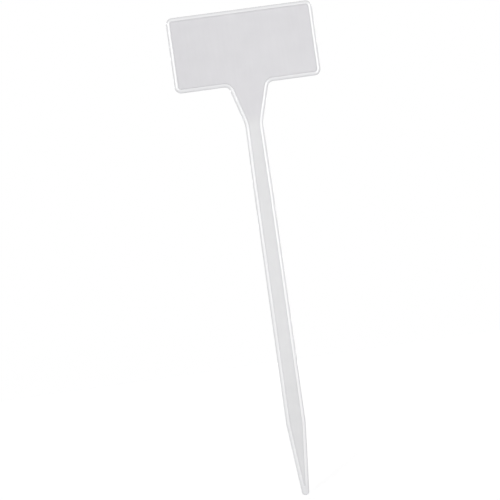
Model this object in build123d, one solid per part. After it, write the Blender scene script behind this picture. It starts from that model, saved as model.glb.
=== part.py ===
from build123d import *
import math
import os

# Plant label stake: one T-shaped plastic moulding that is pushed into the soil of a pot or a bed.
# A thin flat web runs unbroken from the writing panel through the neck and the stem to the point.
# A thicker rounded rim follows its whole edge and closes in a solid nose.
# The stake stands upright along Z with its writing face towards -Y. The origin is on the middle
# plane of the stem, at the height of the soil that holds it. Sizes are millimetres.

# Whole stake and head
overall_length = 300.0
insertion_depth = 100.0
head_width = 90.0
head_height = 46.3
head_corner_radius = 4.0

# Neck, a funnel from the head down to the stem, measured between sharp corners
neck_mouth_width = 24.8
neck_length = 24.0
neck_mouth_radius = 3.5
neck_foot_radius = 21.0

# Stem, which widens over its first stretch and is then nearly straight
stem_top_width = 10.9
stem_flare_width = 11.7
stem_flare_length = 40.0
stem_flare_radius = 200.0
stem_foot_width = 12.0

# Point, which tapers to a round nose
point_length = 44.5
point_shoulder_radius = 15.0
nose_radius = 2.3

# Section: a rim that is rounded outside and bevelled inside on both faces, round a thin web
rim_width = 2.4
rim_thickness = 2.2
web_thickness = 1.0
web_tip_radius = 0.25
outer_rounding_width_share = 0.42
outer_rounding_thickness_share = 0.45
inner_bevel_step_share = 0.85

# Shallow round marks that the ejector pins leave on the back of the web
pin_mark_depth = 0.12
panel_mark_diameter = 6.0
panel_mark_width_share = 0.34
panel_mark_height_share = 0.27
stem_mark_diameter = 4.0
stem_mark_count = 4

# Cutting solids reach this far past what they cut, and joints stay this far clear of round corners
overrun = 1.0

# Heights that follow from the sizes above
nose_end_z = -insertion_depth
top_z = nose_end_z + overall_length
head_foot_z = top_z - head_height
neck_foot_z = head_foot_z - neck_length
stem_flare_z = neck_foot_z - stem_flare_length
point_shoulder_z = nose_end_z + point_length


def point_side_lean():
    """Angle between the sides of the point and the upright, in radians."""
    half_width = stem_foot_width / 2
    to_centre = point_length - nose_radius
    to_corner = math.hypot(half_width, to_centre)
    return math.atan(half_width / to_centre) - math.asin(nose_radius / to_corner)


def nose_apex_z():
    """Height where the sides of the point would meet if they ran on past the round nose."""
    return point_shoulder_z - stem_foot_width / 2 / math.tan(point_side_lean())


def web_tip_z():
    """Height of the centre of the web's round lower tip, above which the rim's two runs part."""
    return nose_apex_z() + (rim_width + web_tip_radius) / math.sin(point_side_lean())


def neck_side_lean():
    """Angle between the sides of the neck and the upright, in radians."""
    return math.atan((neck_mouth_width - stem_top_width) / 2 / neck_length)


def edge_corners():
    """Sharp corners of the stake's edge, anticlockwise from the nose, with their rounding radii."""
    right_side = [
        (stem_foot_width / 2, point_shoulder_z, point_shoulder_radius),
        (stem_flare_width / 2, stem_flare_z, stem_flare_radius),
        (stem_top_width / 2, neck_foot_z, neck_foot_radius),
        (neck_mouth_width / 2, head_foot_z, neck_mouth_radius),
        (head_width / 2, head_foot_z, head_corner_radius),
        (head_width / 2, top_z, head_corner_radius),
    ]
    left_side = [(-x, z, radius) for x, z, radius in reversed(right_side)]
    corners = [(0, nose_apex_z(), nose_radius)] + right_side + left_side
    return [(Vector(x, z), radius) for x, z, radius in corners]


def inward(start, end):
    """Unit vector square to one side of the edge, pointing into the stake."""
    side = (end - start).normalized()
    return Vector(-side.Y, side.X)


def front_view(inset, smallest_radius):
    """The stake seen from the front, with every side moved inwards by the inset."""
    corners = edge_corners()
    points, radii = [], []
    for index, (corner, radius) in enumerate(corners):
        before = inward(corners[index - 1][0], corner)
        after = inward(corner, corners[(index + 1) % len(corners)][0])
        points.append(corner + (before + after) * (inset / (1 + before.dot(after))))
        hollow = before.cross(after).Z < 0
        radii.append(radius + inset if hollow else max(radius - inset, smallest_radius))
    return Plane.XZ * make_face(FilletPolyline(*points, radius=radii, close=True))


def rim():
    """The whole rim: a band along the edge, rounded outside and bevelled inside on both faces."""
    outer_rounding = min(
        rim_width * outer_rounding_width_share,
        rim_thickness * outer_rounding_thickness_share,
    )
    inner_bevel = (rim_thickness - web_thickness) / 2 * inner_bevel_step_share
    plate = extrude(front_view(0, 0), rim_thickness / 2, both=True)
    outer_faces = plate.faces().sort_by(Axis.Y)
    plate = fillet(outer_faces[0].edges() + outer_faces[-1].edges(), outer_rounding)
    band = plate - extrude(front_view(rim_width, web_tip_radius), rim_thickness, both=True)
    crowns = band.faces().sort_by(Axis.Y)
    window_edges = [crown.inner_wires()[0].edges() for crown in (crowns[0], crowns[-1])]
    return chamfer(window_edges[0] + window_edges[1], inner_bevel)


def pin_mark(x, z, diameter):
    """A disc that sinks one ejector-pin mark into the back of the web."""
    floor = Plane((x, web_thickness / 2 - pin_mark_depth, z), z_dir=(0, 1, 0))
    return extrude(floor * Circle(diameter / 2), pin_mark_depth + overrun)


def web():
    """The whole web, with its pin marks on the back."""
    sheet = extrude(front_view(rim_width, web_tip_radius), web_thickness / 2, both=True)
    panel_middle_z = head_foot_z + head_height / 2
    for x in (-head_width * panel_mark_width_share, head_width * panel_mark_width_share):
        for rise in (-head_height * panel_mark_height_share, head_height * panel_mark_height_share):
            sheet -= pin_mark(x, panel_middle_z + rise, panel_mark_diameter)
    pitch = (neck_foot_z - point_shoulder_z) / stem_mark_count
    for index in range(stem_mark_count):
        sheet -= pin_mark(0, point_shoulder_z + (index + 1 / 2) * pitch, stem_mark_diameter)
    return sheet


def slice_of(solid, low_z, high_z):
    """The part of a solid that lies between two heights."""
    block = Box(head_width + 2 * overrun, rim_thickness + 2 * overrun, high_z - low_z)
    return solid & (Pos(0, 0, (low_z + high_z) / 2) * block)


def pieces():
    """Every named region of the moulding as its own closed solid, meeting face to face."""
    lean = neck_side_lean()
    above_top = top_z + overrun
    below_nose = nose_end_z - overrun
    panel_foot_z = head_foot_z + rim_width
    mouth_run = neck_mouth_radius * math.tan((math.pi / 2 - lean) / 2)
    neck_joint_z = head_foot_z - mouth_run - overrun
    stem_joint_z = neck_foot_z - neck_foot_radius * math.tan(lean / 2) - overrun
    point_joint_z = web_tip_z() + overrun

    whole_rim, whole_web = rim(), web()
    found = {
        "writing_panel": slice_of(whole_web, panel_foot_z, above_top),
        "neck_web": slice_of(whole_web, stem_joint_z, panel_foot_z),
        "stem_web": slice_of(whole_web, point_shoulder_z, stem_joint_z),
        "point_web": slice_of(whole_web, below_nose, point_shoulder_z),
        "head_rim": slice_of(whole_rim, neck_joint_z, above_top),
        "nose": slice_of(whole_rim, below_nose, point_joint_z),
    }
    side_runs = {
        "neck_rim": (stem_joint_z, neck_joint_z),
        "stem_rim": (point_shoulder_z, stem_joint_z),
        "point_rim": (point_joint_z, point_shoulder_z),
    }
    for name, (low_z, high_z) in side_runs.items():
        runs = slice_of(whole_rim, low_z, high_z).solids().sort_by(Axis.X)
        found[name + "_left"], found[name + "_right"] = runs
    return found


os.makedirs("parts", exist_ok=True)
for node, solid in pieces().items():
    export_step(solid, f"parts/{node}.step")
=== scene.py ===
import math

import bpy
import numpy as np
from bpy.props import FloatProperty, FloatVectorProperty, IntProperty, PointerProperty
from mathutils import Matrix, Vector


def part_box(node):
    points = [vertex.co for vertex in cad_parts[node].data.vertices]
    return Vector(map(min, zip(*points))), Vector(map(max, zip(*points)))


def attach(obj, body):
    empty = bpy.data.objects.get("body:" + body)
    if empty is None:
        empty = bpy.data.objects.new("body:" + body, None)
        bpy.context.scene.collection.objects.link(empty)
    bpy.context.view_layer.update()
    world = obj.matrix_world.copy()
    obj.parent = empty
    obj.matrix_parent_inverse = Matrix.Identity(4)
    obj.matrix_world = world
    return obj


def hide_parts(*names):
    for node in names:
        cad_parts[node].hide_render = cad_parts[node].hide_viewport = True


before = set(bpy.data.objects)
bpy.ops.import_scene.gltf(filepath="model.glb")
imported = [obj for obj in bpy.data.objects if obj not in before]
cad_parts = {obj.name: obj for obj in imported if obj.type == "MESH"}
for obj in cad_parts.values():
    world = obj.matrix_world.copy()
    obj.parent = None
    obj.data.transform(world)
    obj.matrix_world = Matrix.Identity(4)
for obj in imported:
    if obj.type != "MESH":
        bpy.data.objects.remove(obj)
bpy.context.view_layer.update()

bl_info = {
    "name": "Plant label stake",
    "version": (1, 0, 0),
    "blender": (4, 5, 0),
    "location": "3D View > Sidebar > Plant label",
    "description": "Builds a moulded T-shaped plant label with a rounded rim, and a white stage for it",
    "category": "Object",
}

# The stake is one white moulding. Seen from the front it is an edge of straight runs and arcs, written here
# as (x, z). Every surface is a function of how far a point lies in from that edge. All lengths are metres,
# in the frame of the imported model: Z up the stem, -Y the writing face, z = 0 the line of the soil.

BODY = "root"
MM = 0.001


def corner_of(node, which, axis):
    """One coordinate (0 to 2) of the lowest (0) or highest (1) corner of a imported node."""
    return float(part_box(node)[which][axis])


TOP_Z = corner_of("head_rim", 1, 2)
NOSE_END_Z = corner_of("nose", 0, 2)
PANEL_FOOT_Z = corner_of("writing_panel", 0, 2)
NECK_JOINT_Z = corner_of("head_rim", 0, 2)
STEM_JOINT_Z = corner_of("stem_web", 1, 2)
SHOULDER_Z = corner_of("stem_web", 0, 2)
NOSE_JOINT_Z = corner_of("nose", 1, 2)
NECK_OPENING = corner_of("neck_web", 1, 0)
RIM_WIDTH = corner_of("head_rim", 1, 0) - corner_of("writing_panel", 1, 0)
WEB_THICKNESS = 2 * corner_of("writing_panel", 1, 1)


def linear(text):
    """An sRGB hex colour turned to linear light: the sRGB curve undone for each channel."""
    channels = [int(text[i : i + 2], 16) / 255 for i in (1, 3, 5)]
    return tuple(c / 12.92 if c <= 0.04045 else ((c + 0.055) / 1.055) ** 2.4 for c in channels)


def length(name, description, default, lowest=0.0):
    """A length as a property, in metres."""
    return FloatProperty(name=name, description=description, default=default, min=lowest,
                         unit="LENGTH", subtype="DISTANCE", precision=5)


def colour(name, description, text):
    """A colour as a property, written as sRGB hex and kept in linear light."""
    return FloatVectorProperty(name=name, description=description, default=linear(text), size=3,
                               min=0.0, max=1.0, subtype="COLOR")


def angle(name, description, degrees):
    """An angle as a property, in radians."""
    return FloatProperty(name=name, description=description, default=math.radians(degrees), subtype="ANGLE")


def number(name, description, default, unit="NONE"):
    """A number as a property, plain or in Blender's own unit for it."""
    return FloatProperty(name=name, description=description, default=default, min=0.0, unit=unit)


class StakeSizes(bpy.types.PropertyGroup):
    """Sizes of the moulding"""

    head_width: length("Head width", "Width of the head over its rim", 2 * corner_of("head_rim", 1, 0))
    head_height: length("Head height", "Height of the head over its rim", TOP_Z - PANEL_FOOT_Z + RIM_WIDTH)
    head_corner_radius: length("Head corner radius", "Rounding of the head's four corners", 4.0 * MM)
    neck_mouth_width: length("Neck mouth width", "Width of the neck where it meets the head", 24.8 * MM)
    neck_length: length("Neck length", "Height of the funnel between head and stem", 24.0 * MM)
    neck_mouth_radius: length("Neck mouth radius", "Rounding between head and neck", 3.5 * MM)
    neck_foot_radius: length("Neck foot radius", "Rounding between neck and stem", 21.0 * MM)
    stem_top_width: length("Stem top width", "Width of the stem under the neck", 10.9 * MM)
    stem_flare_width: length("Stem flare width", "Width where the stem stops widening", 11.7 * MM)
    stem_flare_length: length("Stem flare length", "Length over which the stem widens", 40.0 * MM)
    stem_flare_radius: length("Stem flare radius", "Rounding at the end of the flare", 200.0 * MM)
    stem_foot_width: length("Stem foot width", "Width of the stem above the point", 12.0 * MM)
    point_shoulder_radius: length("Point shoulder radius", "Rounding between stem and point", 15.0 * MM)
    nose_radius: length("Nose radius", "Rounding of the end of the point", 2.3 * MM)
    rim_width: length("Rim width", "Width of the rim", RIM_WIDTH)
    rim_thickness: length("Rim thickness", "Thickness of the rim", 2 * corner_of("head_rim", 1, 1))
    crown_inset: length("Crown inset", "From the edge to the highest line of the rim", 1.75 * MM)
    rim_roundness: number("Rim roundness", "Power of the ovals of the rim's section, 2 for true ones", 2.2)
    parting_ridge: length("Parting ridge", "Height of the ridge left where the mould halves meet", 0.03 * MM)
    web_thickness: length("Web thickness", "Thickness of the web", WEB_THICKNESS)
    web_tip_radius: length("Web tip radius", "Rounding of the web's lower tip", 0.25 * MM)
    web_tuck: length("Web tuck", "How far the web reaches under the rim", 0.16 * MM)
    foot_rise: length("Foot rise", "Height of the hollow between web and rim", 0.16 * MM)
    foot_reach: length("Foot reach", "Width of the hollow between web and rim", 0.36 * MM)
    # Reach of the web's painted shade along the rim's foot
    foot_shade_reach: length("Foot line", "How far the web's darker line reaches from the rim", 0.7 * MM)
    web_wave: length("Web wave", "Height of the faint waves that cooling leaves in the web", 0.012 * MM)
    wave_down: length("Wave down", "Height over which a wave turns by one radian", 9.0 * MM)
    wave_across: length("Wave across", "Width over which a wave turns by one radian", 13.0 * MM)
    panel_mark_diameter: length("Panel mark diameter", "Ejector-pin marks on the panel's back", 6.0 * MM)
    panel_mark_side: number("Panel mark side", "Marks left and right, as a share of the head's width", 0.34)
    panel_mark_rise: number("Panel mark rise", "Marks up and down, as a share of the head's height", 0.27)
    stem_mark_diameter: length("Stem mark diameter", "Ejector-pin marks on the stem's back", 4.0 * MM)
    mark_depth: length("Mark depth", "Depth of the ejector-pin marks", 0.12 * MM)
    mark_wall: length("Mark wall", "Width of the sloping wall of a pin mark", 0.2 * MM)
    mark_lip: length("Mark lip", "From a pin mark's circle out to its fine lip", 0.3 * MM)
    stem_marks: IntProperty(name="Stem marks", description="Pin marks down the stem", default=4, min=0)


class StakeColours(bpy.types.PropertyGroup):
    """Colours of the plastic and of the stage"""

    web: colour("Web", "Thin web of the head and neck", "#DEDDE0")
    stem_web: colour("Stem web", "Thin web of the stem and the point", "#E5E5E6")
    # Painted shade: the darker line of the web along the rim
    web_foot_shade: colour("Web foot", "Fine line of the web along the rim", "#D5D4D7")
    # The rim's white is partly its own. The crown and edge colours are its lit and shaded copies: painted
    # highlight and painted shade
    rim: colour("Rim crown", "Thick middle of the rim", "#FAFAFB")
    rim_shaded_edge: colour("Rim edge", "Thin outer and inner sides of the rim", "#ECECEE")
    floor: colour("Floor", "Floor under the stake", "#F4F4F4")


class StakeStage(bpy.types.PropertyGroup):
    """Camera, lamps and floor"""

    camera_distance: length("Camera distance", "From the camera to the point it looks at", 848.5 * MM)
    camera_yaw: angle("Camera yaw", "How far left of the stake's front the camera stands", 2.0)
    camera_roll: angle("Camera roll", "Turn of the camera about its own line of sight", -7.967)
    target_x: length("Target x", "Where the camera looks, to the stake's right", -13.18 * MM, -1.0)
    target_z: length("Target z", "Where the camera looks, above the soil line", 53.3 * MM, -1.0)
    lens: number("Lens", "Focal length in millimetres", 100.0, "CAMERA")
    floor_gap: length("Floor gap", "Clear height between the floor and the nose", 0.5 * MM)
    floor_reach: length("Floor reach", "From the middle of the floor to its sides", 1000.0 * MM)
    floor_glow: number("Floor glow", "Light that the floor adds for the camera, so that it shows white", 0.54)
    lamp_azimuth: angle("Lamp azimuth", "How far round from the stake's front each softbox stands", 17.0)
    lamp_turn: angle("Lamp turn", "Turn of the front pair of softboxes to the left", 2.0)
    lamp_distance: length("Lamp distance", "From the stake to each softbox", 3000.0 * MM)
    lamp_width: length("Lamp width", "Width of each softbox", 400.0 * MM)
    lamp_height: length("Lamp height", "Height of each softbox", 1300.0 * MM)
    lamp_aim: length("Lamp aim", "Height above the soil line that the softboxes face", 50.0 * MM)
    lamp_rise: length("Lamp rise", "Mean height of the softboxes above the soil line", 560.0 * MM)
    lamp_step: length("Lamp step", "The left softboxes stand this much above it, the right below", 150.0 * MM)
    left_lamp: number("Left lamp", "Power of each left softbox in watts", 26.6, "POWER")
    right_lamp: number("Right lamp", "Power of each right softbox in watts", 27.1, "POWER")
    sky: number("Sky", "Strength of the even light from all round", 0.3)


# Shape of the edge

# The two corners at the neck's mouth, counted anticlockwise from the nose
RIGHT_MOUTH, LEFT_MOUTH = 4, 9


def edge_corners(s):
    """Sharp corners of the edge and their radii, anticlockwise from the nose, as an array of (x, z, radius).
    The sides of the point meet at an apex below the nose: their lean is the angle of the line from the
    shoulder to the nose's centre less the angle that the nose's radius covers from there."""
    half = s.stem_foot_width / 2
    to_centre = SHOULDER_Z - NOSE_END_Z - s.nose_radius
    lean = math.atan(half / to_centre) - math.asin(s.nose_radius / math.hypot(half, to_centre))
    head_foot_z = TOP_Z - s.head_height
    neck_foot_z = head_foot_z - s.neck_length
    right = np.array([
        (half, SHOULDER_Z, s.point_shoulder_radius),
        (s.stem_flare_width / 2, neck_foot_z - s.stem_flare_length, s.stem_flare_radius),
        (s.stem_top_width / 2, neck_foot_z, s.neck_foot_radius),
        (s.neck_mouth_width / 2, head_foot_z, s.neck_mouth_radius),
        (s.head_width / 2, head_foot_z, s.head_corner_radius),
        (s.head_width / 2, TOP_Z, s.head_corner_radius),
    ])
    apex = np.array([[0.0, SHOULDER_Z - half / math.tan(lean), s.nose_radius]])
    return np.concatenate([apex, right, right[::-1] * (-1, 1, 1)])


def edge_stations(s, run_step=3.0 * MM, arc_step=0.25 * MM):
    """Stations round the whole edge: points, unit normals pointing into the stake, and the number of the
    corner that each belongs to. An arc is its centre less the normal times the radius, while the normal
    turns evenly by the corner's angle. A straight run is divided evenly between the arcs at its ends."""
    corners = edge_corners(s)
    place, radius = corners[:, :2], corners[:, 2]
    along = np.roll(place, -1, axis=0) - place
    along /= np.linalg.norm(along, axis=1)[:, None]
    before = np.roll(along, 1, axis=0)
    turn = np.arctan2(before[:, 0] * along[:, 1] - before[:, 1] * along[:, 0], (before * along).sum(1))
    reach = radius * np.tan(abs(turn) / 2)
    start = place - before * reach[:, None]
    normal = np.stack([-before[:, 1], before[:, 0]], axis=1)
    centre = start + normal * (radius * np.sign(turn))[:, None]
    points, normals, owner = [], [], []
    for i in range(len(corners)):
        by_angle, by_length = abs(turn[i]) / math.radians(3), abs(turn[i]) * radius[i] / arc_step
        count = max(3, math.ceil(max(by_angle, by_length))) + 1
        a = np.linspace(0, turn[i], count)[:, None]
        n = np.cos(a) * normal[i] + np.sin(a) * np.array([-normal[i, 1], normal[i, 0]])
        p = centre[i] - n * radius[i] * np.sign(turn[i])
        after = start[(i + 1) % len(corners)]
        runs = max(1, math.ceil(np.linalg.norm(after - p[-1]) / run_step))
        share = (np.arange(1, runs) / runs)[:, None]
        q = p[-1] + share * (after - p[-1])
        points += [p, q]
        normals += [n, np.repeat(n[-1:], len(q), axis=0)]
        owner += [np.full(count, i), np.full(len(q), i + 0.5)]
    return np.concatenate(points), np.concatenate(normals), np.concatenate(owner)


def distance_in(x, z, stations):
    """How far points of the front view lie in from the edge: the distance along the normal of the nearest
    station, which is exact beside a straight run. 4,000 points go at a time, to spare memory."""
    points, normals, _ = stations
    found = np.empty(x.shape)
    flat_x, flat_z, flat = x.reshape(-1), z.reshape(-1), found.reshape(-1)
    for low in range(0, len(flat), 4000):
        part = slice(low, low + 4000)
        dx = flat_x[part, None] - points[None, :, 0]
        dz = flat_z[part, None] - points[None, :, 1]
        near = (dx * dx + dz * dz).argmin(1)
        rows = np.arange(len(near))
        flat[part] = dx[rows, near] * normals[near, 0] + dz[rows, near] * normals[near, 1]
    return found


def right_side(stations):
    """Points and normals of the right side, from the end of the nose's arc to the end of the neck mouth's."""
    points, normals, owner = stations
    first, last = np.flatnonzero(owner == 0)[-1], np.flatnonzero(owner == RIGHT_MOUTH)[-1]
    return points[first : last + 1], normals[first : last + 1]


def half_width(z, inset, stations):
    """Half width of the stake at heights z with its side moved in by the inset: the right side's stations,
    moved along their normals and read off at z. Heights give the rows, insets the columns."""
    p, n = right_side(stations)
    columns = [np.interp(z, p[:, 1] + n[:, 1] * d, p[:, 0] + n[:, 0] * d) for d in np.atleast_1d(inset)]
    return np.stack(columns, axis=-1)


def tip_centre(s):
    """Height of the centre of the web's round lower tip, which touches the insides of both rims, and the
    lean of the point's sides."""
    corners = edge_corners(s)
    lean = math.atan2(corners[1, 0], corners[1, 1] - corners[0, 1])
    return corners[0, 1] + (s.rim_width + s.web_tip_radius) / math.sin(lean), lean


# Meshes from grids


def grid_squares(rows, columns):
    """Corner numbers of the squares of a grid whose points are numbered row by row."""
    at = np.arange(rows * columns).reshape(rows, columns)
    return np.stack([at[:-1, :-1], at[:-1, 1:], at[1:, 1:], at[1:, :-1]], axis=-1).reshape(-1, 4)


def add_piece(name, grids, material, nodes, attributes):
    """Makes one closed mesh from grids of points. Each grid is (points[rows, columns, 3], flip, tones), its
    squares wound so that they face outwards, with tones[rows, columns, k] for the named attributes. Points
    closer than a hundredth of a micron are joined, and a square with two corners joined becomes a triangle,
    so seams and poles close. Only edges sharper than 50 degrees show as edges."""
    corners, squares, values, first = [], [], [], 0
    for grid, flip, tones in grids:
        square = first + grid_squares(*grid.shape[:2])
        squares.append(square[:, ::-1] if flip else square)
        corners.append(grid.reshape(-1, 3))
        values.append(tones.reshape(-1, len(attributes)))
        first += len(corners[-1])
    corners, squares, values = np.concatenate(corners), np.concatenate(squares), np.concatenate(values)
    _, kept, joined = np.unique(np.round(corners / 1e-8).astype(np.int64), axis=0,
                                return_index=True, return_inverse=True)
    corners, values = corners[kept], values[kept]
    squares = joined.reshape(-1)[squares]
    same = squares == np.roll(squares, -1, axis=1)
    whole = squares[same.sum(1) == 0]
    halves = squares[same.sum(1) == 1]
    gap = same[same.sum(1) == 1].argmax(1)
    picks = (gap[:, None] + np.array([1, 2, 3])) % 4
    halves = np.take_along_axis(halves, picks, axis=1)
    mesh = bpy.data.meshes.new(name)
    mesh.from_pydata(corners.tolist(), [], whole.tolist() + halves.tolist())
    mesh.polygons.foreach_set("use_smooth", np.ones(len(mesh.polygons), bool))
    mesh.set_sharp_from_angle(angle=math.radians(50))
    for index, attribute in enumerate(attributes):
        tone = mesh.attributes.new(attribute, "FLOAT", "POINT")
        tone.data.foreach_set("value", values[:, index].astype(np.float32))
    mesh.materials.append(material)
    mesh.validate()
    mesh.update()
    piece = bpy.data.objects.new(name, mesh)
    bpy.context.scene.collection.objects.link(piece)
    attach(piece, BODY)
    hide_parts(*nodes)


def smooth(t):
    """Rises from 0 to 1 while t does, level at both ends: 3t squared less 2t cubed."""
    t = np.clip(t, 0, 1)
    return t * t * (3 - 2 * t)


# The rim


def rim_height(d, e, s):
    """Half thickness of the rim at distance d in from the edge and e out from the web: the lower of two
    quarter ovals, a wide one rising from the edge to the crown and a narrow one falling to the web. Each
    oval is |across|^p + |up|^p = 1, with p the roundness."""
    p = s.rim_roundness
    outer = np.clip(1 - d / s.crown_inset, 0, 1)
    inner = np.clip(1 - e / (s.rim_width - s.crown_inset), 0, 1)
    return s.rim_thickness / 2 * (1 - np.maximum(outer, inner) ** p) ** (1 / p)


def rim_profile(s, count=14):
    """Front half of the rim's section, from the edge to the web: distances in from the edge and heights.
    An angle runs evenly over each oval. The parting ridge, 0.08 mm across, stands out at mid-thickness."""
    t = np.linspace(0, math.pi / 2, count)
    power = 2 / s.rim_roundness
    outer = s.crown_inset * (1 - np.cos(t) ** power)
    inner = s.rim_width - (s.rim_width - s.crown_inset) * (1 - np.cos(t[-2::-1]) ** power)
    up = s.rim_thickness / 2 * np.sin(t) ** power
    outer = s.parting_ridge + outer * (1 - s.parting_ridge / s.crown_inset)
    d = np.concatenate([[0, 0.15 * s.parting_ridge], outer[1:], inner])
    y = np.concatenate([[0, 0.04 * MM], up[1:], up[-2::-1]])
    return d, y


def rim_painted_light(d, e, inward_z, z):
    """How much painted highlight the rim has at distance d from the edge and e from the web, where inward_z
    is the upward part of the unit normal that points into the stake: 1 gives the lit crown colour and 0 the
    shaded edge colour. It is highest along the crown, and falls to 0.4 down the outer side and 0.3 down the
    inner one as painted shade. Upright runs (0) carry the most painted highlight, and furthest down their
    inner side. The head's top run (-1) carries less, and its bottom runs (1) the least. It fades out from 12
    to 4 mm above the stake's end, so the rim is darker towards the nose."""
    level = 1 - 0.4 * np.maximum(-inward_z, 0) - 0.75 * np.maximum(inward_z, 0)
    outside = 0.4 + 0.6 * smooth((d - 0.6 * MM) / (1.2 * MM))
    inside = 0.3 + 0.7 * smooth(e / ((0.3 + 0.3 * abs(inward_z)) * MM))
    near_nose = smooth((z - NOSE_END_Z - 4 * MM) / (8 * MM))
    return level * outside * inside * near_nose


def bar_grids(x, y, z, painted_light, turned):
    """Front, back and two end grids of a run of the rim whose sections are rows: x, z, front height y and the
    share of painted highlight for each section and each point across. The back mirrors the front. Turned says
    that the sections run the other way round, so that the faces still point outwards."""
    y = np.broadcast_to(y, x.shape)
    front = np.stack([x, -y, z], axis=-1)
    back = np.stack([x, y, z], axis=-1)
    tone = np.broadcast_to(painted_light, x.shape)[..., None]
    grids = [(front, turned, tone), (back, not turned, tone)]
    for end, flip in ((0, turned), (-1, not turned)):
        wall, its_tone = np.stack([front[end], back[end]], axis=1), np.stack([tone[end], tone[end]], axis=1)
        grids.append((wall, flip, its_tone))
    return grids


def side_rows(low, high, stations, step=2.5 * MM):
    """Heights for the sections of a side run: the joints at both ends, every station of the right side
    between them, and even steps."""
    arcs = right_side(stations)[0][:, 1]
    even = np.arange(low, high, step)[1:]
    inside = np.concatenate([arcs, even])
    inside = np.sort(inside[(inside > low + 0.1 * MM) & (inside < high - 0.1 * MM)])
    # A section closer than 0.08 mm to the one below it is left out
    clear = np.concatenate([[True], np.diff(inside) > 0.08 * MM])
    return np.concatenate([[low], inside[clear], [high]])


def add_side_rims(name, low, high, context):
    """The left and right runs of the rim between two heights. Each section is level: its points stand at the
    stake's half width, less their distance in from the edge."""
    s = context.scene.stake_sizes
    stations = edge_stations(s)
    d, y = rim_profile(s)
    rows = side_rows(low, high, stations)
    across = half_width(rows, d, stations)
    height = np.broadcast_to(rows[:, None], across.shape)
    points, normals = right_side(stations)
    inward_z = np.interp(rows, points[:, 1], normals[:, 1])[:, None]
    # Painted highlight along the upright runs' crowns, painted shade down their sides
    painted_light = rim_painted_light(d, s.rim_width - d, inward_z, height)
    for side, sign in (("left", -1), ("right", 1)):
        node = f"{name}_{side}"
        grids = bar_grids(sign * across, y, height, painted_light, sign > 0)
        add_piece(f"{node}_bead", grids, rim_material(context), [node], ["painted_light"])


class STAKE_OT_head_rim(bpy.types.Operator):
    """Carries the rim's section round the head, from one side of the neck's mouth to the other"""

    bl_idname = "stake.head_rim"
    bl_label = "Head rim"

    def execute(self, context):
        s = context.scene.stake_sizes
        stations = edge_stations(s, arc_step=0.15 * MM)
        points, normals, owner = stations
        d, y = rim_profile(s)
        chosen = (owner >= RIGHT_MOUTH) & (owner <= LEFT_MOUTH)
        p, n = points[chosen], normals[chosen]
        x = p[:, :1] + n[:, :1] * d
        z = p[:, 1:] + n[:, 1:] * d
        # The end sections are level, where the funnel's straight sides cross the joint
        ends = half_width(np.array([NECK_JOINT_Z]), d, stations)
        level = np.full_like(ends, NECK_JOINT_Z)
        x = np.concatenate([ends, x, -ends])
        z = np.concatenate([level, z, level])
        inward_z = np.concatenate([n[:1, 1:], n[:, 1:], n[-1:, 1:]])
        # Painted highlight along the crown, painted shade down the sides and on the level runs
        painted_light = rim_painted_light(d, s.rim_width - d, inward_z, z)
        grids = bar_grids(x, y, z, painted_light, True)
        add_piece("head_rim_bead", grids, rim_material(context), ["head_rim"], ["painted_light"])
        return {"FINISHED"}


class STAKE_OT_neck_rims(bpy.types.Operator):
    """Makes the two runs of the rim down the neck"""

    bl_idname = "stake.neck_rims"
    bl_label = "Neck rims"

    def execute(self, context):
        add_side_rims("neck_rim", STEM_JOINT_Z, NECK_JOINT_Z, context)
        return {"FINISHED"}


class STAKE_OT_stem_rims(bpy.types.Operator):
    """Makes the two long runs of the rim down the stem"""

    bl_idname = "stake.stem_rims"
    bl_label = "Stem rims"

    def execute(self, context):
        add_side_rims("stem_rim", SHOULDER_Z, STEM_JOINT_Z, context)
        return {"FINISHED"}


class STAKE_OT_point_rims(bpy.types.Operator):
    """Makes the two runs of the rim down the point"""

    bl_idname = "stake.point_rims"
    bl_label = "Point rims"

    def execute(self, context):
        add_side_rims("point_rim", NOSE_JOINT_Z, SHOULDER_Z, context)
        return {"FINISHED"}


def nose_sections(s, stations):
    """The right half's sections of the nose, from under the joint to the end: where each starts on the edge,
    its direction, and how far in it reaches. Each is a straight line square to the edge. Beside the web it
    ends at the web's side, then on the circle of the web's round tip, at the nearer root of the line and
    circle's quadratic, and below the tip on the middle line."""
    points, normals, owner = stations
    tip_z, lean = tip_centre(s)
    half_arc = (owner == 0) & (points[:, 0] >= 1e-6)
    arc_p, arc_n = points[half_arc][::-1], normals[half_arc][::-1]
    end = arc_p[0] + arc_n[0] * s.nose_radius - (arc_p[0, 0] + arc_n[0, 0] * s.nose_radius, s.nose_radius)
    # Up the side, sections crowd together where they end on the web's round tip
    up = np.array([math.sin(lean), math.cos(lean)])
    tangent = np.array([s.web_tip_radius * math.cos(lean), tip_z + s.web_tip_radius * math.sin(lean)])
    bottom = np.array([0.0, tip_z - s.web_tip_radius])
    top = (NOSE_JOINT_Z - arc_p[0, 1]) / up[1] - s.rim_width * math.tan(lean) - 0.1 * MM
    beside, below = (tangent - arc_p[0]) @ up, (bottom - arc_p[0]) @ up
    steps = np.concatenate([np.linspace(top, beside, 9)[:-1], np.linspace(beside, below, 15)[:-1],
                            np.linspace(below, 0, 34)[:-1]])[:, None]
    p = np.concatenate([arc_p[0] + steps * up, arc_p, end[None]])
    n = np.concatenate([np.repeat(arc_n[:1], len(steps), axis=0), arc_n, [[0.0, 1.0]]])
    on_side = np.arange(len(p)) < len(steps)
    to_middle = np.where(on_side, p[:, 0] / np.maximum(-n[:, 0], 1e-6), s.nose_radius)
    offset = p - (0, tip_z)
    ahead = (offset * n).sum(1)
    rest = ahead**2 - (offset**2).sum(1) + s.web_tip_radius**2
    to_tip = np.where(rest > 0, -ahead - np.sqrt(np.maximum(rest, 0)), 1.0)
    beside_web = p[:, 1] + n[:, 1] * s.rim_width >= tangent[1]
    return p, n, np.where(beside_web, s.rim_width, np.minimum(to_tip, to_middle))


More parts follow.
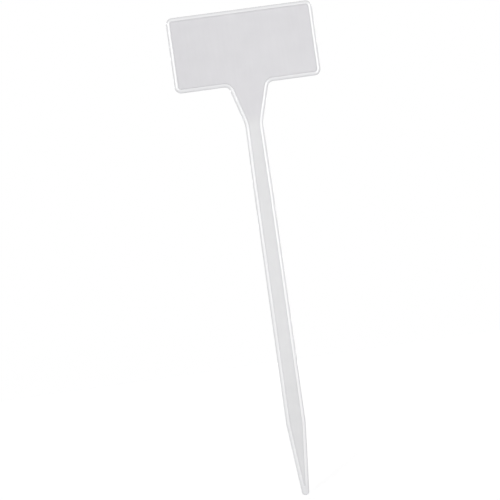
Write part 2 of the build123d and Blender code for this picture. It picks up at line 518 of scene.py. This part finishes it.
class STAKE_OT_nose(bpy.types.Operator):
    """Makes the solid nose, where the two runs of the rim meet and merge"""

    bl_idname = "stake.nose"
    bl_label = "Nose"

    def execute(self, context):
        s = context.scene.stake_sizes
        stations = edge_stations(s, arc_step=0.1 * MM)
        tip_z, lean = tip_centre(s)
        p, n, reach = nose_sections(s, stations)
        # Distances in along each section keep the rim's own spacing, stretched past the crown to the reach
        profile_d, profile_y = rim_profile(s)
        crown = int(np.argmin(abs(profile_d - s.crown_inset)))
        stretch = (reach[:, None] - s.crown_inset) / (s.rim_width - s.crown_inset)
        d = np.repeat(profile_d[None], len(p), axis=0)
        d[:, crown + 1 :] = reach[:, None] - (s.rim_width - d[:, crown + 1 :]) * stretch
        # The first section is level, on the joint with the runs of the point
        first_x = half_width(np.array([NOSE_JOINT_Z]), profile_d, stations)
        x = np.concatenate([first_x, p[:, :1] + n[:, :1] * d])
        z = np.concatenate([np.full_like(first_x, NOSE_JOINT_Z), p[:, 1:] + n[:, 1:] * d])
        d = np.concatenate([profile_d[None], d])
        x[abs(x) < 1e-7] = 0.0
        # Distance out from the web: along the rim beside it, and from its round tip below that
        tangent_z = tip_z + s.web_tip_radius * math.sin(lean)
        e = np.where(z >= tangent_z, s.rim_width - d, np.hypot(x, z - tip_z) - s.web_tip_radius)
        e[:, -1] = np.where(x[:, -1] > 0, 0.0, e[:, -1])
        e[e < 1e-7] = 0.0
        y = rim_height(np.full_like(d, s.rim_width), e, s)
        y[:, : crown + 1] = np.minimum(profile_y[: crown + 1], y[:, : crown + 1])
        # Painted highlight and painted shade as on the runs of the rim, darker towards the end
        painted_light = rim_painted_light(d, e, math.sin(lean), z)
        # The halves meet on the middle line in the last section, so neither has a wall there
        grids = []
        for sign in (1, -1):
            grids += bar_grids(sign * x, y, z, painted_light, sign < 0)[:3]
        add_piece("nose_bead", grids, rim_material(context), ["nose"], ["painted_light"])
        return {"FINISHED"}


# The web

# Spacing of its mesh: even in the middle, fine in a band along the rim and round the pin marks
SHEET_STEP = 1.0 * MM
BAND_STEP = 0.12 * MM
BAND_WIDTH = 1.9 * MM
PANEL_MARK_STEP = 0.14 * MM
STEM_MARK_STEP = 0.12 * MM
MARK_MARGIN = 0.6 * MM
# Beside the neck's opening the panel's foot drops under the rim over this width
FOOT_DROP = 0.3 * MM


def pin_marks(x, z, centres, diameter, s):
    """How far into a round pin mark each point lies: 1 inside its circle, 0 outside, over a sloping wall, and
    a tenth below 0 on the fine lip round it, which is a bell curve of the distance from the circle."""
    inside = np.zeros_like(x)
    for cx, cz in centres:
        out = np.hypot(x - cx, z - cz) - diameter / 2
        lip = np.exp(-(((out - s.mark_lip) / (s.mark_lip / 2)) ** 2))
        inside += smooth(0.5 - out / s.mark_wall) - 0.1 * lip
    return inside


def add_web(name, x, z, node, context, centres=(), diameter=0.0):
    """One stretch of the web as a closed slab over a grid of the front view, rows going up. Both faces are
    level, but for a hollow that curls up to the rim along a parabola, and for faint waves left by cooling,
    which are the product of a sine down and a cosine across, and fade out over the last 3 mm to the rim. Pin
    marks sink into the back."""
    s = context.scene.stake_sizes
    past = distance_in(x, z, edge_stations(s)) - (s.rim_width - s.web_tuck)
    half = s.web_thickness / 2 + s.foot_rise * np.clip(1 - past / s.foot_reach, 0, 1) ** 2
    wave = s.web_wave * np.sin(z / s.wave_down) * np.cos(x / s.wave_across) * smooth(past / (3 * MM))
    mark = pin_marks(x, z, centres, diameter, s)
    front = np.stack([x, -half + wave, z], axis=-1)
    back = np.stack([x, half + wave - s.mark_depth * mark, z], axis=-1)
    # Painted shade: the web reads darker in a fine line along its foot, where the rim shades it,
    # and most of all in the head
    up = smooth((z - STEM_JOINT_Z) / (PANEL_FOOT_Z - STEM_JOINT_Z))
    foot = np.exp(-((past / s.foot_shade_reach) ** 2)) * (0.5 + 0.5 * up)
    plain = np.stack([foot, np.zeros_like(foot)], axis=-1)
    marked = np.stack([foot, np.clip(mark, 0, 1)], axis=-1)
    grids = [(front, False, plain), (back, True, marked)]
    for end, flip in ((0, True), (-1, False)):
        for axis in (0, 1):
            wall = np.stack([front.take(end, axis), back.take(end, axis)], axis)
            grids.append((wall, flip, np.stack([plain.take(end, axis), marked.take(end, axis)], axis)))
    add_piece(name, grids, web_material(context), [node], ["foot", "mark"])


def spread(low, high, step, edge, fine):
    """Values from low to high: close together within the edge distance of both ends, then even steps."""
    near = np.arange(0, edge, fine)
    inner = np.linspace(low + edge, high - edge, max(2, math.ceil((high - low - 2 * edge) / step) + 1))
    return np.concatenate([low + near, inner, (high - near)[::-1]])


def closer(values, centres, reach, step):
    """Values with fine even steps within reach of each centre, in place of the ones that stood there."""
    centres = np.array(centres)
    away = values[(abs(values[:, None] - centres) > reach).all(1)]
    fine = np.linspace(-reach, reach, 2 * math.ceil(reach / step) + 1)
    return np.sort(np.concatenate([away, (centres[:, None] + fine).reshape(-1)]))


def add_tapered_web(name, rows, columns, node, context, centres=(), diameter=0.0):
    """A stretch of web whose sides follow the rim: x is a share of the half width at each height. The round
    tip is a circle, whose half width is the root of its radius squared less the height squared. Next to the
    panel the half width grows down to the tuck, along the panel's dropping foot."""
    s = context.scene.stake_sizes
    half = half_width(rows, s.rim_width - s.web_tuck, edge_stations(s))[:, 0]
    drop = (PANEL_FOOT_Z - rows) / s.web_tuck
    half = np.where(drop < 1, NECK_OPENING + FOOT_DROP * drop, np.minimum(half, NECK_OPENING))
    tip_z, lean = tip_centre(s)
    radius = s.web_tip_radius + s.web_tuck
    round_tip = rows < tip_z + radius * math.sin(lean)
    half = np.where(round_tip, np.sqrt(np.maximum(radius**2 - (rows - tip_z) ** 2, 0)), half)
    x = half[:, None] * columns
    z = np.broadcast_to(rows[:, None], x.shape)
    add_web(name, x, z, node, context, centres, diameter)


def stem_mark_centres(s):
    """Places of the pin marks down the stem: the middles of equal parts of its length."""
    neck_foot_z = TOP_Z - s.head_height - s.neck_length
    share = (np.arange(s.stem_marks) + 0.5) / max(1, s.stem_marks)
    return [(0.0, SHOULDER_Z + part * (neck_foot_z - SHOULDER_Z)) for part in share]


class STAKE_OT_writing_panel(bpy.types.Operator):
    """Makes the flat panel that carries the writing, with four pin marks on its back"""

    bl_idname = "stake.writing_panel"
    bl_label = "Writing panel"

    def execute(self, context):
        s = context.scene.stake_sizes
        inset = s.rim_width - s.web_tuck
        half = s.head_width / 2 - inset
        radius = s.head_corner_radius - inset
        middle = TOP_Z - s.head_height / 2
        mark_x = [side * s.panel_mark_side * s.head_width for side in (-1, 1)]
        mark_z = [middle + side * s.panel_mark_rise * s.head_height for side in (-1, 1)]
        reach = s.panel_mark_diameter / 2 + MARK_MARGIN
        columns = spread(-half, half, SHEET_STEP, BAND_WIDTH, BAND_STEP)
        columns = closer(columns, mark_x, reach, PANEL_MARK_STEP)
        # Across the neck's opening the sheet ends at the joint. Beside it, its foot drops by the tuck
        past_opening = abs(columns) - NECK_OPENING
        around = np.array([NECK_OPENING, NECK_OPENING + FOOT_DROP])
        columns = np.sort(np.concatenate([columns[abs(past_opening) > 2 * FOOT_DROP], around, -around]))
        past = np.clip(abs(columns) - (half - radius), 0, radius)
        rounded = radius - np.sqrt(np.maximum(radius**2 - past**2, 0))
        under_rim = s.web_tuck * np.clip((abs(columns) - NECK_OPENING) / FOOT_DROP, 0, 1)
        low, high = PANEL_FOOT_Z - s.web_tuck, TOP_Z - inset
        rows = spread(low, high, SHEET_STEP, BAND_WIDTH, BAND_STEP)
        rows = closer(rows, mark_z, reach, PANEL_MARK_STEP)
        share = (rows[:, None] - low) / (high - low)
        bottom = PANEL_FOOT_Z - under_rim + rounded
        x = np.broadcast_to(columns, (len(rows), len(columns)))
        z = bottom + share * (high - rounded - bottom)
        centres = [(mx, mz) for mx in mark_x for mz in mark_z]
        add_web("writing_panel_web", x, z, "writing_panel", context, centres, s.panel_mark_diameter)
        return {"FINISHED"}


class STAKE_OT_neck_web(bpy.types.Operator):
    """Makes the funnel-shaped web of the neck"""

    bl_idname = "stake.neck_web"
    bl_label = "Neck web"

    def execute(self, context):
        # Rows crowd together over the last 4 mm, where the sides curve out into the head
        mouth_z = PANEL_FOOT_Z - 4 * MM
        rows = np.concatenate([np.arange(STEM_JOINT_Z, mouth_z, SHEET_STEP / 2),
                               np.linspace(mouth_z, PANEL_FOOT_Z, 60)])
        add_tapered_web("neck_web_sheet", rows, spread(-1, 1, 0.05, 0.1, 0.012), "neck_web", context)
        return {"FINISHED"}


class STAKE_OT_stem_web(bpy.types.Operator):
    """Makes the long web of the stem, with pin marks on its back"""

    bl_idname = "stake.stem_web"
    bl_label = "Stem web"

    def execute(self, context):
        s = context.scene.stake_sizes
        centres = stem_mark_centres(s)
        reach = s.stem_mark_diameter / 2 + MARK_MARGIN
        rows = np.linspace(SHOULDER_Z, STEM_JOINT_Z, 200)
        rows = closer(rows, [mark_z for _, mark_z in centres], reach, STEM_MARK_STEP)
        columns = spread(-1, 1, 0.035, 0.12, 0.02)
        add_tapered_web("stem_web_sheet", rows, columns, "stem_web", context, centres, s.stem_mark_diameter)
        return {"FINISHED"}


class STAKE_OT_point_web(bpy.types.Operator):
    """Makes the web of the point, a long V with a round tip"""

    bl_idname = "stake.point_web"
    bl_label = "Point web"

    def execute(self, context):
        s = context.scene.stake_sizes
        tip_z, _ = tip_centre(s)
        radius = s.web_tip_radius + s.web_tuck
        turn = np.linspace(-math.pi / 2, 0, 12)[:-1]
        rows = np.concatenate([tip_z + radius * np.sin(turn), np.linspace(tip_z, SHOULDER_Z, 90)])
        add_tapered_web("point_web_sheet", rows, spread(-1, 1, 0.08, 0.12, 0.02), "point_web", context)
        return {"FINISHED"}


# Materials


def add_node(tree, kind, settings=None, inputs=None, links=None):
    """Adds one node: settings are its own properties, inputs the values of its sockets by name or number,
    and links the outputs that feed its sockets. A Mix node of colours has its factor at 0, its two colours
    at 6 and 7, and its result at output 2."""
    node = tree.nodes.new(kind)
    for key, value in (settings or {}).items():
        setattr(node, key, value)
    for key, value in (inputs or {}).items():
        node.inputs[key].default_value = value
    for key, output in (links or {}).items():
        tree.links.new(output, node.inputs[key])
    return node


def new_tree(name):
    """A node material with nothing in it yet, and its tree."""
    material = bpy.data.materials.new(name)
    material.use_nodes = True
    material.node_tree.nodes.clear()
    return material, material.node_tree


def web_material(context):
    """Polypropylene, injection moulded thin against a matt, spark-eroded mould face. The eye gets an even
    pale grey with a breath of lilac, because 1 mm of it lets some light through, faint clouds and flow
    streaks, and a satin face with no clear reflections. The narrow web of the stem reads lighter than the
    head's. Both carry painted shade, darker down the point and to the left of the head, and in a fine line
    along the rim."""
    name = "polypropylene_moulded_satin"
    if name in bpy.data.materials:
        return bpy.data.materials[name]
    c = context.scene.stake_colours
    material, tree = new_tree(name)
    place = add_node(tree, "ShaderNodeTexCoord").outputs["Object"]
    axes = add_node(tree, "ShaderNodeSeparateXYZ", links={"Vector": place})
    across, along_z = axes.outputs["X"], axes.outputs["Z"]
    # The head's grey turns to the stem's over 7 mm at the foot of the neck
    stem = add_node(tree, "ShaderNodeMapRange", inputs={"From Min": 136 * MM, "From Max": 129 * MM},
                    links={"Value": along_z})
    even = add_node(tree, "ShaderNodeMix", {"data_type": "RGBA"}, {6: (*c.web, 1), 7: (*c.stem_web, 1)},
                    {0: stem.outputs["Result"]})
    # Painted shade in a fine line along the rim's foot
    foot = add_node(tree, "ShaderNodeAttribute", {"attribute_name": "foot"})
    base = add_node(tree, "ShaderNodeMix", {"data_type": "RGBA"}, {7: (*c.web_foot_shade, 1)},
                    {0: foot.outputs["Fac"], 6: even.outputs[2]})
    # Painted shade, darker to the left of the head and down the point. Then clouds of 14 mm from cooling,
    # and streaks of 1.5 by 19 mm from the plastic's flow along the stake
    tones = [(across, -42 * MM, -8 * MM, 0.972, 1.0), (along_z, -55 * MM, 10 * MM, 0.966, 1.0)]
    for size, along, low, high in ((14 * MM, 1.0, 0.982, 1.012), (1.5 * MM, 0.08, 0.991, 1.007)):
        drawn = add_node(tree, "ShaderNodeMapping", inputs={"Scale": (1, 1, along)}, links={"Vector": place})
        patches = add_node(tree, "ShaderNodeTexNoise", inputs={"Scale": 1 / size, "Detail": 3.0},
                           links={"Vector": drawn.outputs["Vector"]})
        tones.append((patches.outputs["Fac"], 0.32, 0.68, low, high))
    shade = None
    for value, first, last, low, high in tones:
        ends = {"From Min": first, "From Max": last, "To Min": low, "To Max": high}
        tone = add_node(tree, "ShaderNodeMapRange", inputs=ends, links={"Value": value}).outputs["Result"]
        shade = tone if shade is None else add_node(tree, "ShaderNodeMath", {"operation": "MULTIPLY"},
                                                    links={0: shade, 1: tone}).outputs["Value"]
    grey = add_node(tree, "ShaderNodeCombineXYZ", links={"X": shade, "Y": shade, "Z": shade})
    toned = add_node(tree, "ShaderNodeMix", {"data_type": "RGBA", "blend_type": "MULTIPLY"}, {0: 1.0},
                     {6: base.outputs[2], 7: grey.outputs["Vector"]})
    # The eroded face has pits of about 0.05 mm. They are drawn 0.25 mm wide, so that they show at all
    pits = add_node(tree, "ShaderNodeTexNoise", inputs={"Scale": 1 / (0.25 * MM), "Detail": 2.0},
                    links={"Vector": place})
    bump = add_node(tree, "ShaderNodeBump", inputs={"Strength": 0.12, "Distance": 0.02 * MM},
                    links={"Height": pits.outputs["Fac"]})
    # It is satin in patches of 6 mm, and smoother where the ground faces of the ejector pins left their marks
    wear = add_node(tree, "ShaderNodeTexNoise", inputs={"Scale": 1 / (6 * MM)}, links={"Vector": place})
    eroded = add_node(tree, "ShaderNodeMapRange",
                      inputs={"From Min": 0.3, "From Max": 0.7, "To Min": 0.46, "To Max": 0.56},
                      links={"Value": wear.outputs["Fac"]})
    mark = add_node(tree, "ShaderNodeAttribute", {"attribute_name": "mark"})
    ground = add_node(tree, "ShaderNodeMapRange", inputs={"To Min": 1.0, "To Max": 0.65},
                      links={"Value": mark.outputs["Fac"]})
    rough = add_node(tree, "ShaderNodeMath", {"operation": "MULTIPLY"},
                     links={0: eroded.outputs["Result"], 1: ground.outputs["Result"]})
    shader = add_node(tree, "ShaderNodeBsdfPrincipled", inputs={"IOR": 1.49},
                      links={"Base Color": toned.outputs[2], "Roughness": rough.outputs["Value"],
                             "Normal": bump.outputs["Normal"]})
    add_node(tree, "ShaderNodeOutputMaterial", links={"Surface": shader.outputs["BSDF"]})
    return material


def rim_material(context):
    """Polypropylene, injection moulded thick against a polished mould face. The eye gets a whiter band than
    the web, partly because 2.2 mm of it lets no light through and partly as a painted highlight along the
    crown, with painted shade along its thin sides and its level runs, and a soft satin gloss along the crown."""
    name = "polypropylene_moulded_gloss"
    if name in bpy.data.materials:
        return bpy.data.materials[name]
    c = context.scene.stake_colours
    material, tree = new_tree(name)
    place = add_node(tree, "ShaderNodeTexCoord").outputs["Object"]
    # Share of the painted highlight: the lit crown colour against the shaded edge colour
    lit_share = add_node(tree, "ShaderNodeAttribute", {"attribute_name": "painted_light"})
    base = add_node(tree, "ShaderNodeMix", {"data_type": "RGBA"}, {6: (*c.rim_shaded_edge, 1), 7: (*c.rim, 1)},
                    {0: lit_share.outputs["Fac"]})
    # Faint clouds of 9 mm from cooling
    patches = add_node(tree, "ShaderNodeTexNoise", inputs={"Scale": 1 / (9 * MM), "Detail": 3.0},
                       links={"Vector": place})
    shade = add_node(tree, "ShaderNodeMapRange",
                     inputs={"From Min": 0.3, "From Max": 0.7, "To Min": 0.985, "To Max": 1.0},
                     links={"Value": patches.outputs["Fac"]}).outputs["Result"]
    grey = add_node(tree, "ShaderNodeCombineXYZ", links={"X": shade, "Y": shade, "Z": shade})
    toned = add_node(tree, "ShaderNodeMix", {"data_type": "RGBA", "blend_type": "MULTIPLY"}, {0: 1.0},
                     {6: base.outputs[2], 7: grey.outputs["Vector"]})
    # Polishing lines of a few hundredths of a millimetre, drawn 0.4 mm wide
    lines = add_node(tree, "ShaderNodeTexNoise", inputs={"Scale": 1 / (0.4 * MM), "Detail": 2.0},
                     links={"Vector": place})
    bump = add_node(tree, "ShaderNodeBump", inputs={"Strength": 0.05, "Distance": 0.01 * MM},
                    links={"Height": lines.outputs["Fac"]})
    wear = add_node(tree, "ShaderNodeTexNoise", inputs={"Scale": 1 / (4 * MM)}, links={"Vector": place})
    rough = add_node(tree, "ShaderNodeMapRange",
                     inputs={"From Min": 0.3, "From Max": 0.7, "To Min": 0.18, "To Max": 0.24},
                     links={"Value": wear.outputs["Fac"]})
    shader = add_node(tree, "ShaderNodeBsdfPrincipled", inputs={"IOR": 1.6},
                      links={"Base Color": toned.outputs[2], "Roughness": rough.outputs["Result"],
                             "Normal": bump.outputs["Normal"]})
    add_node(tree, "ShaderNodeOutputMaterial", links={"Surface": shader.outputs["BSDF"]})
    return material


def seen_directly(tree):
    """1 for rays from the camera, mirrors and glass, which see the plain white ground, else 0."""
    path = add_node(tree, "ShaderNodeLightPath")
    seen = path.outputs["Is Camera Ray"]
    for kind in ("Is Glossy Ray", "Is Transmission Ray"):
        seen = add_node(tree, "ShaderNodeMath", {"operation": "MAXIMUM"},
                        links={0: seen, 1: path.outputs[kind]}).outputs["Value"]
    return seen


def floor_material(context):
    """White seamless paper, uncoated. The eye gets even white with no edge, and a soft shadow."""
    material, tree = new_tree("paper_seamless_white")
    paper = add_node(tree, "ShaderNodeBsdfDiffuse", inputs={"Color": (*context.scene.stake_colours.floor, 1)})
    glow = add_node(tree, "ShaderNodeEmission", inputs={"Strength": context.scene.stake_stage.floor_glow})
    lit = add_node(tree, "ShaderNodeAddShader", links={0: paper.outputs["BSDF"], 1: glow.outputs["Emission"]})
    shown = add_node(tree, "ShaderNodeMixShader",
                     links={0: seen_directly(tree), 1: paper.outputs["BSDF"], 2: lit.outputs["Shader"]})
    add_node(tree, "ShaderNodeOutputMaterial", links={"Surface": shown.outputs["Shader"]})
    return material


# The stage


def add_camera(scene, g):
    """The camera: level, turned left of the stake's front by the yaw, and then rolled about its own sight."""
    ahead = Vector((math.sin(g.camera_yaw), math.cos(g.camera_yaw), 0.0))
    upright = Vector((0, 0, 1))
    right = ahead.cross(upright).normalized()
    cos, sin = math.cos(g.camera_roll), math.sin(g.camera_roll)
    turned = Matrix((right * cos + upright * sin, upright * cos - right * sin, -ahead)).transposed()
    camera = bpy.data.cameras.new("camera")
    camera.lens = g.lens
    holder = bpy.data.objects.new("camera", camera)
    place = Vector((g.target_x, 0.0, g.target_z)) - ahead * g.camera_distance
    holder.matrix_world = Matrix.Translation(place) @ turned.to_4x4()
    scene.collection.objects.link(holder)
    scene.camera = holder


def add_softbox(name, place, power, scene, g):
    """A softbox: an upright area lamp at a place, turned to face the middle of the stake."""
    lamp = bpy.data.lights.new(name, "AREA")
    lamp.shape, lamp.size, lamp.size_y, lamp.energy = "RECTANGLE", g.lamp_width, g.lamp_height, power
    holder = bpy.data.objects.new(name, lamp)
    holder.location = place
    sight = Vector((0, 0, g.lamp_aim)) - Vector(place)
    holder.rotation_euler = sight.to_track_quat("-Z", "Y").to_euler()
    scene.collection.objects.link(holder)


def add_surround(scene, g):
    """Even white light from all round, and plain white where the camera and mirrors look."""
    world = bpy.data.worlds.new("surround")
    world.use_nodes = True
    scene.world = world
    tree = world.node_tree
    tree.nodes.clear()
    sky = add_node(tree, "ShaderNodeBackground", inputs={"Color": (1, 1, 1, 1), "Strength": g.sky})
    ground = add_node(tree, "ShaderNodeBackground", inputs={"Color": (1, 1, 1, 1), "Strength": 1.0})
    shown = add_node(tree, "ShaderNodeMixShader", links={
        0: seen_directly(tree), 1: sky.outputs["Background"], 2: ground.outputs["Background"]})
    add_node(tree, "ShaderNodeOutputWorld", links={"Surface": shown.outputs["Shader"]})


def add_floor(context, g):
    """A level square of paper under the nose, far larger than the stake."""
    side = np.linspace(-g.floor_reach, g.floor_reach, 9)
    x, y = np.meshgrid(side, side)
    points = np.stack([x, y, np.full_like(x, NOSE_END_Z - g.floor_gap)], axis=-1)
    mesh = bpy.data.meshes.new("floor")
    mesh.from_pydata(points.reshape(-1, 3).tolist(), [], grid_squares(9, 9).tolist())
    mesh.materials.append(floor_material(context))
    floor = bpy.data.objects.new("floor", mesh)
    context.scene.collection.objects.link(floor)


class STAKE_OT_stage(bpy.types.Operator):
    """Sets up the camera at the photograph's angle, the softboxes, the white surround and the floor"""

    bl_idname = "stake.stage"
    bl_label = "Stage"

    def execute(self, context):
        scene, g = context.scene, context.scene.stake_stage
        scene.view_settings.view_transform = "Standard"
        add_camera(scene, g)
        for end, depth, turn in (("front", -1, -g.lamp_turn), ("back", 1, 0.0)):
            for side, sign, power in (("left", -1, g.left_lamp), ("right", 1, g.right_lamp)):
                azimuth = sign * g.lamp_azimuth + turn
                place = (math.sin(azimuth) * g.lamp_distance, depth * math.cos(azimuth) * g.lamp_distance,
                         g.lamp_rise - sign * g.lamp_step)
                add_softbox(f"softbox_{end}_{side}", place, power, scene, g)
        add_surround(scene, g)
        add_floor(context, g)
        return {"FINISHED"}


class STAKE_PT_panel(bpy.types.Panel):
    """Sizes, colours and steps of the plant label stake"""

    bl_idname = "STAKE_PT_panel"
    bl_label = "Plant label stake"
    bl_space_type = "VIEW_3D"
    bl_region_type = "UI"
    bl_category = "Plant label"

    def draw(self, context):
        layout = self.layout
        for group in (context.scene.stake_sizes, context.scene.stake_colours, context.scene.stake_stage):
            column = layout.box().column(align=True)
            for name in group.__annotations__:
                column.prop(group, name)
        for operator in OPERATORS:
            layout.operator(operator.bl_idname)


OPERATORS = (
    STAKE_OT_writing_panel,
    STAKE_OT_neck_web,
    STAKE_OT_stem_web,
    STAKE_OT_point_web,
    STAKE_OT_head_rim,
    STAKE_OT_neck_rims,
    STAKE_OT_stem_rims,
    STAKE_OT_point_rims,
    STAKE_OT_nose,
    STAKE_OT_stage,
)
GROUPS = {"stake_sizes": StakeSizes, "stake_colours": StakeColours, "stake_stage": StakeStage}


def register():
    for group in (*GROUPS.values(), *OPERATORS, STAKE_PT_panel):
        bpy.utils.register_class(group)
    for name, group in GROUPS.items():
        setattr(bpy.types.Scene, name, PointerProperty(type=group))


def unregister():
    for name in GROUPS:
        delattr(bpy.types.Scene, name)
    for group in reversed((*GROUPS.values(), *OPERATORS, STAKE_PT_panel)):
        bpy.utils.unregister_class(group)


def main():
    """Builds every piece and the stage in order."""
    register()
    for operator in OPERATORS:
        family, step = operator.bl_idname.split(".")
        getattr(getattr(bpy.ops, family), step)()


if __name__ == "__main__":
    main()
